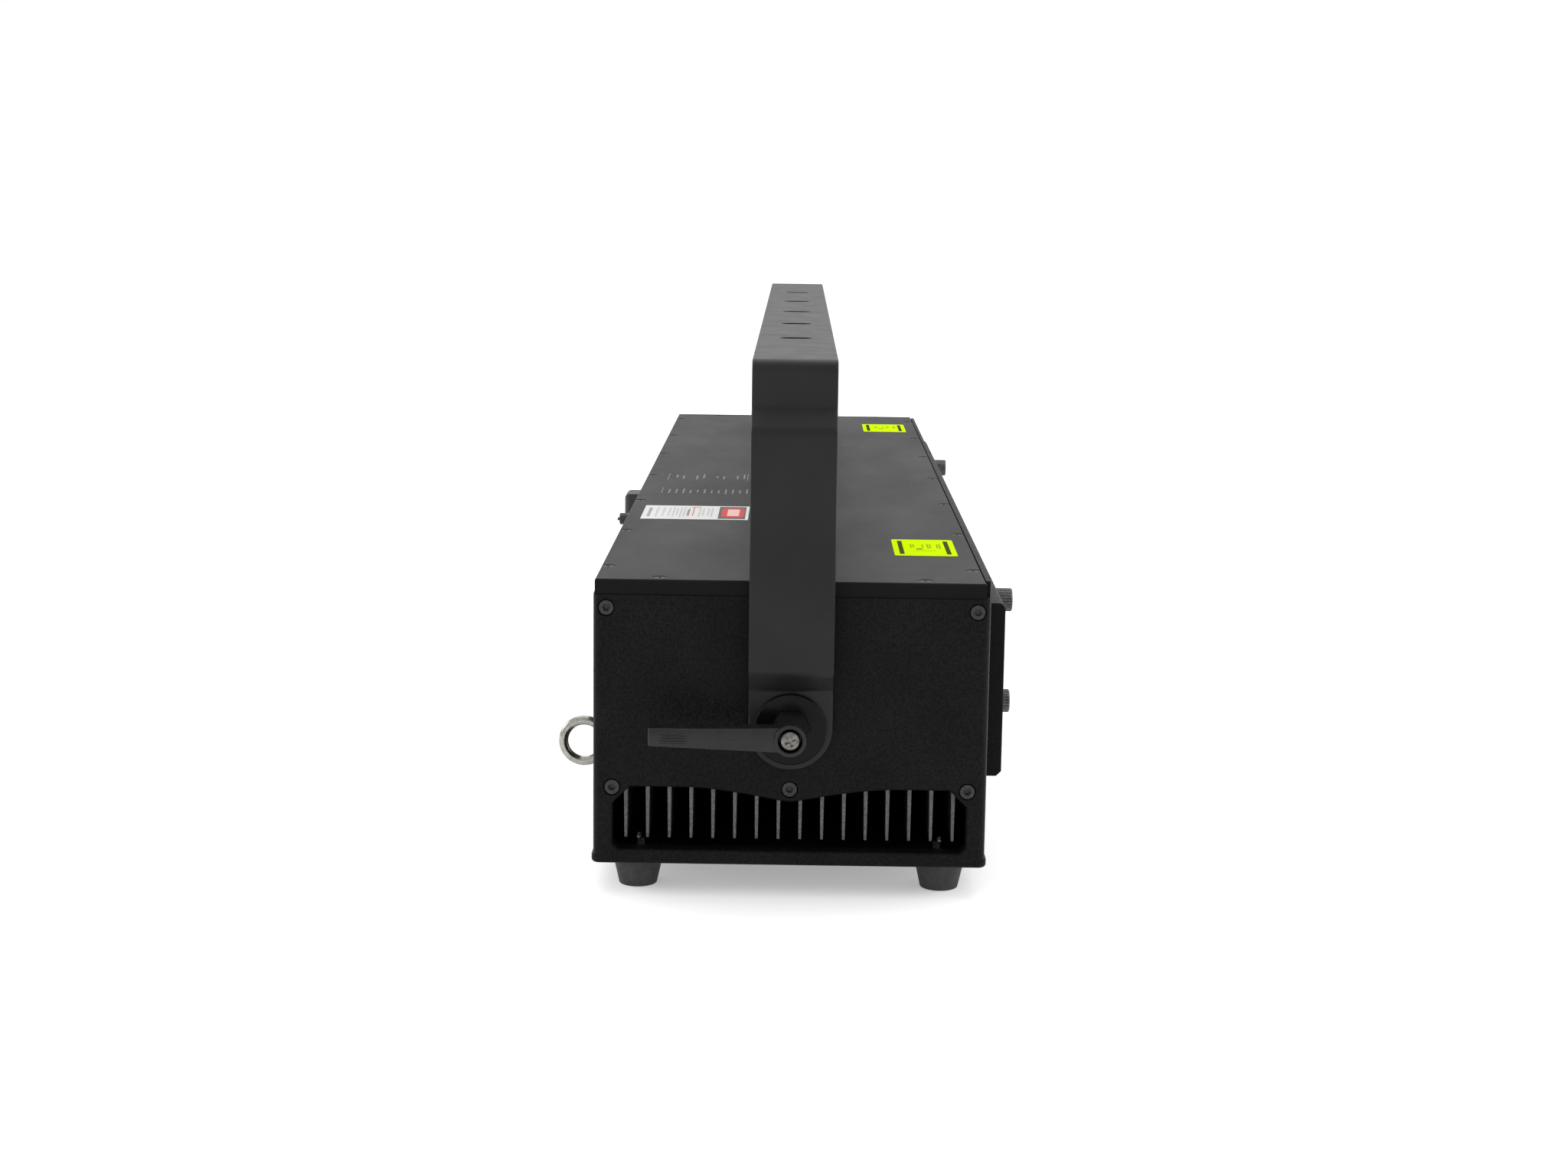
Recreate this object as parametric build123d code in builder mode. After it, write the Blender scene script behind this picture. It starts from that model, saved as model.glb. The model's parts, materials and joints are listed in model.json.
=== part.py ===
"""Stage laser projector: a long finned housing that hangs in a yoke bracket.

Millimetres, +X along the housing, -Y is the beam side, +Z up.
The origin is on the floor, under the middle of the housing.
"""
from build123d import *
import os

os.makedirs("parts", exist_ok=True)

# ---------------------------------------------------------------- driving dimensions
LENGTH = 1000.0          # over the two end plates
WIDTH = 230.0            # over the front and rear panels
FOOT_HEIGHT = 19.0
BODY_HEIGHT = 169.0      # base plate's underside to the cover's top
BASE_THICK = 4.5
END_THICK = 12.0
PANEL_THICK = 3.0
LIP_HEIGHT = 9.0         # the cover's folded edge
PIVOT_Z = 103.0
CORNER_R = 5.0           # the housing's upright corners
BASE_PROUD = 1.0         # the base plate stands this much out of the long sides
BASE_EDGE_R = 2.0
RUNNING = 0.05           # radial clearance of a shaft in its hole

HALF_L = LENGTH / 2
HALF_W = WIDTH / 2
BASE_TOP = FOOT_HEIGHT + BASE_THICK
COVER_TOP = FOOT_HEIGHT + BODY_HEIGHT
PLATE_TOP = COVER_TOP - LIP_HEIGHT
INNER_L = HALF_L - END_THICK

# feet
FOOT_X = HALF_L - 28.0
FOOT_Y = 90.0
FOOT_TOP_R = 15.5
FOOT_BOTTOM_R = 11.2
FOOT_EDGE_R = 1.0
FOOT_SINK_R = 5.5
FOOT_SINK_DEPTH = 8.0
FOOT_SCREW_R = 2.5
FOOT_HEAD_R = 4.5
FOOT_HEAD_HIGH = 4.0
FOOT_NUT_R = 4.6
FOOT_NUT_HIGH = 5.0

# end plates
WINDOW_HALF = 103.7
WINDOW_BOTTOM = 27.5
WINDOW_TOP = 65.5
WINDOW_CUT = 10.3        # the window's upper corner cuts
WINDOW_LOW_CUT = 3.5
WINDOW_DIP = [(64.0, 65.5), (42.0, 64.1), (26.0, 61.9), (9.7, 58.9), (0.0, 57.7)]
WINDOW_BEVEL = 0.8
END_SCREWS = [(-107.3, 171.4), (107.3, 171.4), (-103.8, 65.0), (0.0, 65.0), (103.8, 65.0)]
END_SCREW_R = 2.5
END_HEAD_R = 4.25
END_SINK_R = 4.9
END_SINK_DEPTH = 5.2
END_SINK_BEVEL = 0.4
END_HEAD_BELOW = 0.4     # how far the heads sit under the plate's face
END_SOCKET_R = 2.3
END_SOCKET_DEPTH = 2.6

# bench and cooling fins
FIN_COUNT = 16
FIN_PITCH = 12.85
FIN_ROOT = 2.4           # thickness at the bench
FIN_TIP = 1.6
FIN_TIP_Z = 32.0
BENCH_Z = 70.0
BENCH_THICK = 8.0
BENCH_TOP = BENCH_Z + BENCH_THICK
FAN_GAP = 13.0           # half of the gap in the fins that holds the fans

# cover
COVER_WALL = 13.0
COVER_SKIN = 3.0
COVER_BEVEL = 0.8
COVER_SCREW_R = 2.0
COVER_SCREW_BELOW = 0.35
COVER_SOCKET_R = 1.45
COVER_SOCKET_DEPTH = 1.6
COVER_HEAD_R = 4.4
COVER_FRONT = -112.2     # the cover's front edge, behind the front panel
COVER_REAR = HALF_W - 1.0
COVER_SCREW_X = 489.5
COVER_SCREW_Y = 77.0

# yoke and its clamps
YOKE_WIDTH = 49.0
YOKE_THICK = 5.0
YOKE_TOP = 316.0
YOKE_EAR_OUT = 4.5       # ear's mid plane, outwards from the end plate
YOKE_ARM_OUT = 16.7      # arm's mid plane
YOKE_BEND_R = 5.0
YOKE_EDGE_R = 1.2
YOKE_JOGS = ((126.5, 138.5), (276.0, 288.0))     # start and end of each jog, in z
YOKE_SLOT = (21.0, 13.0)
YOKE_SLOT_PITCH = 158.0
BUSH_R = 8.0
BUSH_FLANGE_R = 20.0
BUSH_FLANGE_THICK = 1.8
STUD_R = 5.0
INSERT_R = 6.5
DISC_R = 21.0
DISC_OUT = 10.0          # disc's outer face
DISC_EDGE = 0.6
HUB_OUT = 40.0           # lever hub's top
HUB_BASE_R = 11.4
HUB_TOP_R = 9.2
HUB_GAP = 0.3            # between the disc and the hub
HUB_SINK_R = 7.0
HUB_SINK_FLOOR = 29.0
LEVER_REACH = 80.5
LEVER_RISE = 0.8         # the grip's end stands this much above its root
GRIP_LINE_PITCH = 1.55
LEVER_SCREW_R = 2.6
LEVER_HEAD_R = 5.7
LEVER_HEAD_HIGH = 3.4

# mask plate and its thumb screws
MASK_HALF = 456.0
MASK_BOTTOM = 64.0
MASK_TOP = 169.5
MASK_OUT = 12.0
MASK_GAP = 0.3           # between the front panel and the mask's rim
MASK_SKIN = 2.5
MASK_RIM = 5.0
MASK_TOP_R = 4.0
MASK_BEVEL = 3.0
MASK_END_BEVEL = 0.6
KNOB_X = 358.0
KNOB_ROWS = {"lower": 89.6, "upper": 155.0}
KNOB_R = 7.4
KNOB_OUT = 24.3
KNOB_SHANK_R = 3.0
KNOB_BOSS_R = 7.0
KNOB_BOSS_DEEP = 8.0
SLOT_TRAVEL = 12.0

# beam heads
HEAD_X = (-300.0, 0.0, 300.0)
HEAD_NAMES = ("left", "middle", "right")
BEAM_Y = -62.0
BEAM_Z = 108.0
BEAM_RISE = 12.0         # from the first scanning mirror up to the second
APERTURE_LONG = 92.0
APERTURE_HIGH = 44.0
APERTURE_Z = BEAM_Z + BEAM_RISE

# rear panel
EYE_X = 360.0
EYE_Z = 60.0
EYE_OUT = 17.0
EYE_RING_R = 13.3
EYE_WIRE_R = 3.0
INLET_X, INLET_Z = 0.0, 159.0
FUSE_X, FUSE_Z = -100.0, 167.4
KEY_X, KEY_Z = -165.0, 125.0
ROCKER_X, ROCKER_Z = 55.0, 125.0
DATA_X, DATA_Z = (110.0, 150.0, 190.0), 125.0
MENU_X, MENU_Z = -60.0, 110.0
MENU_KNOB_X = MENU_X + 30.0

# fans
FAN_Y = (-72.0, -24.0, 24.0, 72.0)
FAN_Z = 46.0
FAN_SIZE = 40.0
FAN_DEPTH = 20.0


# ---------------------------------------------------------------- helpers
def save(piece, label):
    """Name a finished piece and write its STEP file."""
    piece.part.label = label
    export_step(piece.part, f"parts/{label}.step")


def end_plane(side, out, z=0.0):
    """Plane on an end plate: z points outwards, x is +Y on the right end, y is +Z."""
    return Plane(origin=(side * (HALF_L + out), 0, z), x_dir=(0, side, 0), z_dir=(side, 0, 0))


def rear_plane(x, z, out=0.0):
    """Plane on the rear panel: z points out of the rear, y is +Z."""
    return Plane(origin=(x, HALF_W + out, z), x_dir=(-1, 0, 0), z_dir=(0, 1, 0))


def front_plane(x, z, out=0.0):
    """Plane on the front panel: z points out of the front, y is +Z."""
    return Plane(origin=(x, -HALF_W - out, z), x_dir=(1, 0, 0), z_dir=(0, -1, 0))


def disc(plane, radius, length, mode=Mode.ADD):
    """Round bar that starts on a plane."""
    with BuildSketch(plane) as outline:
        Circle(radius)
    extrude(outline.sketch, amount=length, mode=mode)


def block(plane, width, height, length, corner=0.0, mode=Mode.ADD):
    """Rectangular bar that starts on a plane, with rounded corners if asked."""
    with BuildSketch(plane) as outline:
        if corner:
            RectangleRounded(width, height, corner)
        else:
            Rectangle(width, height)
    extrude(outline.sketch, amount=length, mode=mode)


SIDES = {"left": -1, "right": 1}
FEET_XY = [(x, y) for x in (-FOOT_X, FOOT_X) for y in (-FOOT_Y, FOOT_Y)]
LONG_SCREW_X = [150.0 * i for i in range(-3, 4)]
COVER_SCREWS = (
    [(x, COVER_REAR - 4.2) for x in LONG_SCREW_X]
    + [(x, COVER_FRONT + 4.8) for x in LONG_SCREW_X]
    + [(x, y) for x in (-COVER_SCREW_X, COVER_SCREW_X) for y in (-COVER_SCREW_Y, COVER_SCREW_Y)]
)


# ---------------------------------------------------------------- housing
def base_plate():
    with BuildPart() as plate:
        with BuildSketch(Plane.XY.offset(FOOT_HEIGHT)):
            RectangleRounded(LENGTH, WIDTH + 2 * BASE_PROUD, CORNER_R)
        extrude(amount=BASE_THICK)
        fillet(plate.faces().sort_by(Axis.Z)[0].edges(), BASE_EDGE_R)
        for x, y in FEET_XY:
            disc(Plane((x, y, FOOT_HEIGHT)), FOOT_SCREW_R, BASE_THICK, Mode.SUBTRACT)
    save(plate, "base_plate")


def window_outline():
    """Corners of the duct window's right half, from its floor to where the top dips."""
    return [
        (WINDOW_HALF - WINDOW_LOW_CUT, WINDOW_BOTTOM),
        (WINDOW_HALF, WINDOW_BOTTOM + WINDOW_LOW_CUT),
        (WINDOW_HALF, WINDOW_TOP - WINDOW_CUT),
        (WINDOW_HALF - WINDOW_CUT, WINDOW_TOP),
        WINDOW_DIP[0],
    ]


def end_plate(name, side):
    """Cast end plate with the duct window, screw sinks and the pivot bore."""
    height = PLATE_TOP - BASE_TOP
    inner = end_plane(side, -END_THICK)
    with BuildPart() as plate:
        block(end_plane(side, -END_THICK, BASE_TOP + height / 2), WIDTH, height, END_THICK)
        uprights = plate.edges().filter_by(Axis.Z).sort_by(Axis.X)
        fillet(uprights[-2:] if side > 0 else uprights[:2], CORNER_R)
        with BuildSketch(inner):
            with BuildLine():
                right = window_outline()
                left = [(-x, z) for x, z in reversed(right)]
                Polyline(*right)
                rising = [(-y, z) for y, z in reversed(WINDOW_DIP[:-1])]
                Spline(*WINDOW_DIP, *rising, tangents=[(-1, 0), (-1, 0)])
                Polyline(*left)
                Line(left[-1], right[0])
            make_face()
        extrude(amount=END_THICK, mode=Mode.SUBTRACT)
        outer = plate.faces().sort_by(Axis.X)[-1 if side > 0 else 0]
        chamfer(outer.inner_wires()[0].edges(), WINDOW_BEVEL)
        for y, z in END_SCREWS:
            face = Plane(origin=(side * HALF_L, side * y, z), x_dir=(0, side, 0),
                         z_dir=(side, 0, 0))
            disc(face, END_SCREW_R, -END_THICK, Mode.SUBTRACT)
            disc(face, END_SINK_R, -END_SINK_DEPTH, Mode.SUBTRACT)
        rims = [edge for edge in plate.edges().filter_by(GeomType.CIRCLE)
                if edge.radius == END_SINK_R and abs(edge.center().X) > HALF_L - 1]
        chamfer(rims, END_SINK_BEVEL)
        disc(end_plane(side, -END_THICK, PIVOT_Z), BUSH_R, END_THICK, Mode.SUBTRACT)
    save(plate, f"end_plate_{name}")


def end_plate_screws():
    """Socket-head screws that sit in the end plates' sinks."""
    head_high = END_SINK_DEPTH - END_HEAD_BELOW
    with BuildPart() as screws:
        for side in SIDES.values():
            for y, z in END_SCREWS:
                seat = Plane(
                    origin=(side * (HALF_L - END_SINK_DEPTH), side * y, z),
                    x_dir=(0, side, 0), z_dir=(side, 0, 0),
                )
                disc(seat, END_HEAD_R, head_high)
                disc(seat, END_SCREW_R, -(END_THICK - END_SINK_DEPTH))
                with BuildSketch(seat.offset(head_high)):
                    RegularPolygon(END_SOCKET_R, 6)
                extrude(amount=-END_SOCKET_DEPTH, mode=Mode.SUBTRACT)
    save(screws, "end_plate_screws")


def optical_bench():
    """Thick plate that carries the beam heads and closes the air duct."""
    with BuildPart() as bench:
        width = 2 * (HALF_W - PANEL_THICK - 1.0)
        block(Plane((0, 0, BENCH_Z)), 2 * INNER_L, width, BENCH_THICK)
    save(bench, "optical_bench")


def cooling_fins():
    """Tapered fins bonded under the bench, in two banks with room for the fans."""
    with BuildPart() as fins:
        for start in (-INNER_L, FAN_GAP):
            with BuildSketch(Plane.YZ.offset(start)):
                for i in range(FIN_COUNT):
                    y = (i - (FIN_COUNT - 1) / 2) * FIN_PITCH
                    with BuildLine():
                        Polyline(
                            (y - FIN_ROOT / 2, BENCH_Z), (y + FIN_ROOT / 2, BENCH_Z),
                            (y + FIN_TIP / 2, FIN_TIP_Z), (y - FIN_TIP / 2, FIN_TIP_Z),
                            close=True,
                        )
                    make_face()
            extrude(amount=INNER_L - FAN_GAP)
    save(fins, "cooling_fins")


def front_panel():
    """Front sheet with the beam apertures and threaded bosses for the thumb screws."""
    sheet = HALF_W + COVER_FRONT - 0.2
    with BuildPart() as panel:
        middle = (BASE_TOP + COVER_TOP) / 2
        block(front_plane(0, middle), 2 * INNER_L, COVER_TOP - BASE_TOP, -sheet)
        for x in (-KNOB_X, KNOB_X):
            for z in KNOB_ROWS.values():
                disc(front_plane(x, z, -sheet), KNOB_BOSS_R, -KNOB_BOSS_DEEP)
                disc(front_plane(x, z), KNOB_SHANK_R + RUNNING, -sheet - KNOB_BOSS_DEEP,
                     Mode.SUBTRACT)
        for x in HEAD_X:
            block(front_plane(x, APERTURE_Z), APERTURE_LONG, APERTURE_HIGH, -sheet, 4,
                  Mode.SUBTRACT)
    save(panel, "front_panel")


def rear_panel():
    """Rear sheet with a hole for each connector and control."""
    with BuildPart() as panel:
        middle = (BASE_TOP + PLATE_TOP) / 2
        block(rear_plane(0, middle), 2 * INNER_L, PLATE_TOP - BASE_TOP, -PANEL_THICK)
        cut = dict(mode=Mode.SUBTRACT)
        disc(rear_plane(INLET_X, INLET_Z), 10.5, -PANEL_THICK, **cut)
        disc(rear_plane(FUSE_X, FUSE_Z), 5.0, -PANEL_THICK, **cut)
        disc(rear_plane(KEY_X, KEY_Z), 8.0, -PANEL_THICK, **cut)
        block(rear_plane(ROCKER_X, ROCKER_Z), 19, 26, -PANEL_THICK, **cut)
        for x in DATA_X:
            disc(rear_plane(x, DATA_Z), 11.0, -PANEL_THICK, **cut)
        disc(rear_plane(MENU_KNOB_X, MENU_Z), 4.0, -PANEL_THICK, **cut)
        for x in (-EYE_X, EYE_X):
            disc(rear_plane(x, EYE_Z), 4.0, -PANEL_THICK, **cut)
    save(panel, "rear_panel")


def top_cover():
    """Tray-shaped cover with a bevelled top edge and countersunk screw holes."""
    centre_y = (COVER_FRONT + COVER_REAR) / 2
    depth = COVER_REAR - COVER_FRONT
    with BuildPart() as cover:
        outline = Plane((0, centre_y, PLATE_TOP))
        block(outline, LENGTH - 2, depth, LIP_HEIGHT)
        chamfer(cover.faces().sort_by(Axis.Z)[-1].edges(), COVER_BEVEL)
        block(outline, 2 * (INNER_L - COVER_WALL), depth - 2 * COVER_WALL,
              LIP_HEIGHT - COVER_SKIN, mode=Mode.SUBTRACT)
        for x, y in COVER_SCREWS:
            top = Plane((x, y, COVER_TOP))
            disc(top, COVER_SCREW_R, -LIP_HEIGHT, Mode.SUBTRACT)
            with BuildSketch(top):
                Circle(COVER_HEAD_R)
            extrude(amount=-(COVER_HEAD_R - COVER_SCREW_R), taper=45, mode=Mode.SUBTRACT)
    save(cover, "top_cover")


def cover_screws():
    """Countersunk screws, a hair under the cover's surface, with a hexagon socket."""
    head_r = COVER_HEAD_R - COVER_SCREW_BELOW
    with BuildPart() as screws:
        for x, y in COVER_SCREWS:
            head = Plane((x, y, COVER_TOP - COVER_SCREW_BELOW))
            with BuildSketch(head):
                Circle(head_r)
            extrude(amount=-(head_r - COVER_SCREW_R), taper=45)
            disc(head, COVER_SCREW_R, -LIP_HEIGHT + 1)
            with BuildSketch(head):
                RegularPolygon(COVER_SOCKET_R, 6)
            extrude(amount=-COVER_SOCKET_DEPTH, mode=Mode.SUBTRACT)
    save(screws, "cover_screws")


def feet():
    """Tapered rubber feet with a recess for the screw head."""
    with BuildPart() as rubber:
        for x, y in FEET_XY:
            with BuildSketch(Plane((x, y, FOOT_HEIGHT))):
                Circle(FOOT_TOP_R)
            with BuildSketch(Plane((x, y, 0))):
                Circle(FOOT_BOTTOM_R)
            loft()
        fillet(rubber.faces().filter_by(Axis.Z).group_by(Axis.Z)[0].edges(), FOOT_EDGE_R)
        for x, y in FEET_XY:
            disc(Plane((x, y, 0)), FOOT_SINK_R, FOOT_SINK_DEPTH, Mode.SUBTRACT)
            disc(Plane((x, y, 0)), FOOT_SCREW_R, FOOT_HEIGHT, Mode.SUBTRACT)
    save(rubber, "feet")


def foot_screws():
    """Screws through the feet, with lock nuts that stand in the duct."""
    head_z = FOOT_SINK_DEPTH - FOOT_HEAD_HIGH
    nut_top = BASE_TOP + FOOT_NUT_HIGH
    with BuildPart() as screws:
        for x, y in FEET_XY:
            disc(Plane((x, y, head_z)), FOOT_HEAD_R, FOOT_HEAD_HIGH)
            disc(Plane((x, y, FOOT_SINK_DEPTH)), FOOT_SCREW_R, nut_top + 2.5 - FOOT_SINK_DEPTH)
            with BuildSketch(Plane((x, y, BASE_TOP))):
                RegularPolygon(FOOT_NUT_R, 6)
            extrude(amount=FOOT_NUT_HIGH)
            with BuildSketch(Plane((x, y, head_z))):
                RegularPolygon(1.7, 6)
            extrude(amount=2.5, mode=Mode.SUBTRACT)
    save(screws, "foot_screws")


def eyebolts():
    """Safety eyebolts: collar, shank and ring in one forging."""
    with BuildPart() as bolts:
        for x in (-EYE_X, EYE_X):
            disc(rear_plane(x, EYE_Z), 8.5, 4.0)
            disc(rear_plane(x, EYE_Z), 4.0, -14)
            ring = Plane(origin=(x, HALF_W + EYE_OUT, EYE_Z), z_dir=(1, 0, 0))
            with Locations(ring.location):
                Torus(EYE_RING_R, EYE_WIRE_R)
    save(bolts, "eyebolts")


# ---------------------------------------------------------------- pivot, yoke and levers
def pivot_bushes():
    """Flanged bushes: the yoke's ears turn on them."""
    with BuildPart() as bushes:
        for side in SIDES.values():
            inner = end_plane(side, -END_THICK, PIVOT_Z)
            disc(inner, BUSH_R, END_THICK + DISC_OUT - 0.2)
            disc(end_plane(side, 0, PIVOT_Z), BUSH_FLANGE_R, BUSH_FLANGE_THICK)
            disc(inner, STUD_R + RUNNING, END_THICK + DISC_OUT, Mode.SUBTRACT)
    save(bushes, "pivot_bushes")


def yoke():
    """Bent flat bar with joggled arms, round ears and five slots in its top."""
    ear, arm, top = HALF_L + YOKE_EAR_OUT, HALF_L + YOKE_ARM_OUT, YOKE_TOP - YOKE_THICK / 2
    lowest = PIVOT_Z - YOKE_WIDTH / 2
    low_jog, high_jog = YOKE_JOGS
    right = [(ear, lowest), (ear, low_jog[0]), (arm, low_jog[1]), (arm, high_jog[0]),
             (ear, high_jog[1]), (ear, top)]
    left = [(-x, z) for x, z in reversed(right)]
    with BuildPart() as bracket:
        with BuildSketch(Plane.XZ):
            with BuildLine():
                FilletPolyline(*(right + left), radius=YOKE_BEND_R)
            trace(line_width=YOKE_THICK)
        extrude(amount=YOKE_WIDTH / 2, both=True)
        with BuildSketch(Plane.YZ.offset(-arm - YOKE_THICK)):
            with Locations((0, (PIVOT_Z + YOKE_TOP) / 2)):
                Rectangle(YOKE_WIDTH, YOKE_TOP - PIVOT_Z)
            with Locations((0, PIVOT_Z)):
                Circle(YOKE_WIDTH / 2)
        extrude(amount=2 * (arm + YOKE_THICK), mode=Mode.INTERSECT)
        rims = [edge for edge in bracket.edges() if abs(edge.center().Y) > YOKE_WIDTH / 4]
        arcs = [edge for edge in bracket.edges().filter_by(GeomType.CIRCLE)
                if edge.radius > 2 * YOKE_BEND_R]
        fillet(ShapeList(rims + [arc for arc in arcs if arc not in rims]), YOKE_EDGE_R)
        with BuildSketch(Plane.XY.offset(YOKE_TOP)):
            with Locations(*[(i * YOKE_SLOT_PITCH, 0) for i in range(-2, 3)]):
                SlotOverall(*YOKE_SLOT, rotation=90)
        extrude(amount=-YOKE_THICK, mode=Mode.SUBTRACT)
        for side in SIDES.values():
            disc(end_plane(side, 0, PIVOT_Z), BUSH_R + RUNNING, 2 * YOKE_THICK, Mode.SUBTRACT)
    save(bracket, "yoke")


def friction_discs():
    """Plastic discs between the yoke's ears and the levers."""
    with BuildPart() as discs:
        for side in SIDES.values():
            ear_face = YOKE_EAR_OUT + YOKE_THICK / 2
            disc(end_plane(side, ear_face, PIVOT_Z), DISC_R, DISC_OUT - ear_face)
        chamfer(discs.edges().filter_by(GeomType.CIRCLE), DISC_EDGE)
        for side in SIDES.values():
            disc(end_plane(side, 0, PIVOT_Z), BUSH_R + RUNNING, 20, Mode.SUBTRACT)
    save(discs, "friction_discs")


def lever_stud(name, side):
    """Clamping stud with the toothed insert that carries the lever."""
    insert_end = DISC_OUT + 15.0
    with BuildPart() as stud:
        disc(end_plane(side, -END_THICK - 4, PIVOT_Z), STUD_R, END_THICK + insert_end + 4)
        disc(end_plane(side, DISC_OUT + HUB_GAP, PIVOT_Z), INSERT_R,
             insert_end - DISC_OUT - HUB_GAP)
        disc(end_plane(side, insert_end, PIVOT_Z), LEVER_SCREW_R, -12, Mode.SUBTRACT)
    save(stud, f"lever_stud_{name}")


def lever_screw(name, side):
    """Pan-head screw with a cross recess that holds the lever on its stud."""
    shank_start, head_out = DISC_OUT + 3.0, HUB_OUT - 3.8
    with BuildPart() as screw:
        disc(end_plane(side, shank_start, PIVOT_Z), LEVER_SCREW_R, head_out - shank_start)
        disc(end_plane(side, head_out, PIVOT_Z), LEVER_HEAD_R, LEVER_HEAD_HIGH)
        rim = screw.edges().filter_by(GeomType.CIRCLE)
        rim = rim.sort_by(Axis.X)[-1] if side > 0 else rim.sort_by(Axis.X)[0]
        fillet(rim, 1.4)
        for turn in (25, 115):
            with BuildSketch(end_plane(side, HUB_OUT, PIVOT_Z)):
                Rectangle(6.6, 1.7, rotation=turn)
            extrude(amount=-2.6, mode=Mode.SUBTRACT)
    save(screw, f"lever_screw_{name}")


def lever_spring(name, side):
    """Return spring, at its pressed length, between the screw head and the hub's web."""
    start = (side * (HALF_L + HUB_OUT - 6.3), 0, PIVOT_Z)
    with BuildPart() as spring:
        with BuildLine():
            coil = Helix(pitch=1.0, height=1.7, radius=4.6, center=start, direction=(side, 0, 0))
        with BuildSketch(Plane(origin=coil @ 0, z_dir=coil % 0)):
            Circle(0.32)
        sweep(path=coil, is_frenet=True)
    save(spring, f"lever_spring_{name}")


def lever(name, side):
    """Cast clamping lever: a tapered hub, a long grip and grip lines near its end."""
    end_z = PIVOT_Z + LEVER_RISE
    face = HUB_OUT - 1.15
    with BuildPart() as handle:
        with BuildSketch(end_plane(side, DISC_OUT + HUB_GAP, PIVOT_Z)):
            Circle(HUB_BASE_R)
        with BuildSketch(end_plane(side, HUB_OUT, PIVOT_Z)):
            Circle(HUB_TOP_R)
        loft()
        root = Plane(origin=(side * (HALF_L + 30.5), 3, PIVOT_Z), x_dir=(side, 0, 0),
                     z_dir=(0, 1, 0))
        tip = Plane(origin=(side * (HALF_L + 33.5), LEVER_REACH, end_z), x_dir=(side, 0, 0),
                    z_dir=(0, 1, 0))
        with BuildSketch(root):
            RectangleRounded(14, 14.5, 4)
        with BuildSketch(tip):
            RectangleRounded(10.5, 11.4, 2.5)
        loft()
        fillet(handle.faces().sort_by(Axis.Y)[-1].edges(), 1.6)
        for i in range(-2, 3):
            line = Plane(origin=(side * (HALF_L + face), LEVER_REACH - 12,
                                 end_z + GRIP_LINE_PITCH * i),
                         x_dir=(0, side, 0), z_dir=(side, 0, 0))
            block(line, 15, 0.6, -0.8, mode=Mode.SUBTRACT)
        disc(end_plane(side, DISC_OUT, PIVOT_Z), INSERT_R + RUNNING, 16, Mode.SUBTRACT)
        disc(end_plane(side, DISC_OUT, PIVOT_Z), LEVER_SCREW_R + 0.4, HUB_OUT, Mode.SUBTRACT)
        disc(end_plane(side, HUB_SINK_FLOOR, PIVOT_Z), HUB_SINK_R, HUB_OUT, Mode.SUBTRACT)
    save(handle, f"lever_{name}")


# ---------------------------------------------------------------- mask plate
def mask_plate():
    """Sliding shutter plate over the beam apertures: a tray with slots for its screws."""
    height = MASK_TOP - MASK_BOTTOM
    middle = (MASK_TOP + MASK_BOTTOM) / 2
    deep = MASK_OUT - MASK_GAP
    with BuildPart() as mask:
        block(front_plane(0, middle, MASK_GAP), 2 * MASK_HALF, height, deep)
        fillet(mask.faces().sort_by(Axis.Y)[0].edges().sort_by(Axis.Z)[-1], MASK_TOP_R)
        chamfer(mask.faces().sort_by(Axis.Y)[0].edges().sort_by(Axis.Z)[0], MASK_BEVEL)
        ends = mask.faces().filter_by(Axis.X)
        chamfer([edge for end in ends for edge in end.edges()
                 if edge.center().Y < -HALF_W - MASK_GAP - 1], MASK_END_BEVEL)
        block(front_plane(0, middle, MASK_GAP), 2 * (MASK_HALF - MASK_RIM),
              height - 2 * MASK_RIM, deep - MASK_SKIN, mode=Mode.SUBTRACT)
        for x in (-KNOB_X, KNOB_X):
            for z in KNOB_ROWS.values():
                with BuildSketch(front_plane(x, z, MASK_OUT)):
                    SlotCenterToCenter(2 * SLOT_TRAVEL, 2 * KNOB_SHANK_R + 0.8, rotation=90)
                extrude(amount=-MASK_OUT, mode=Mode.SUBTRACT)
        for x in HEAD_X:
            block(front_plane(x, APERTURE_Z, MASK_OUT), APERTURE_LONG - 8, APERTURE_HIGH - 6,
                  -MASK_OUT, 4, Mode.SUBTRACT)
    save(mask, "mask_plate")


def thumb_screw(row, name, side):
    """Knurled thumb screw that clamps the mask plate."""
    x, z = side * KNOB_X, KNOB_ROWS[row]
    head = MASK_OUT + 0.3
    with BuildPart() as screw:
        disc(front_plane(x, z, head), KNOB_R, KNOB_OUT - head)
        chamfer(screw.edges().filter_by(GeomType.CIRCLE), 0.8)
        disc(front_plane(x, z, KNOB_OUT), 3.6, -1.2, Mode.SUBTRACT)
        with BuildSketch(front_plane(x, z, head)):
            with PolarLocations(KNOB_R + 0.25, 24):
                Rectangle(1.0, 1.0, rotation=45)
        extrude(amount=KNOB_OUT - head, mode=Mode.SUBTRACT)
        disc(front_plane(x, z, -9), KNOB_SHANK_R, head + 9)
    save(screw, f"thumb_screw_{row}_{name}")


def beam_windows():
    """Glass panes behind the front panel's apertures."""
    sheet = HALF_W + COVER_FRONT - 0.2
    with BuildPart() as panes:
        for x in HEAD_X:
            block(front_plane(x, APERTURE_Z, -sheet), APERTURE_LONG + 10, APERTURE_HIGH + 8, -3)
    save(panes, "beam_windows")


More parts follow.
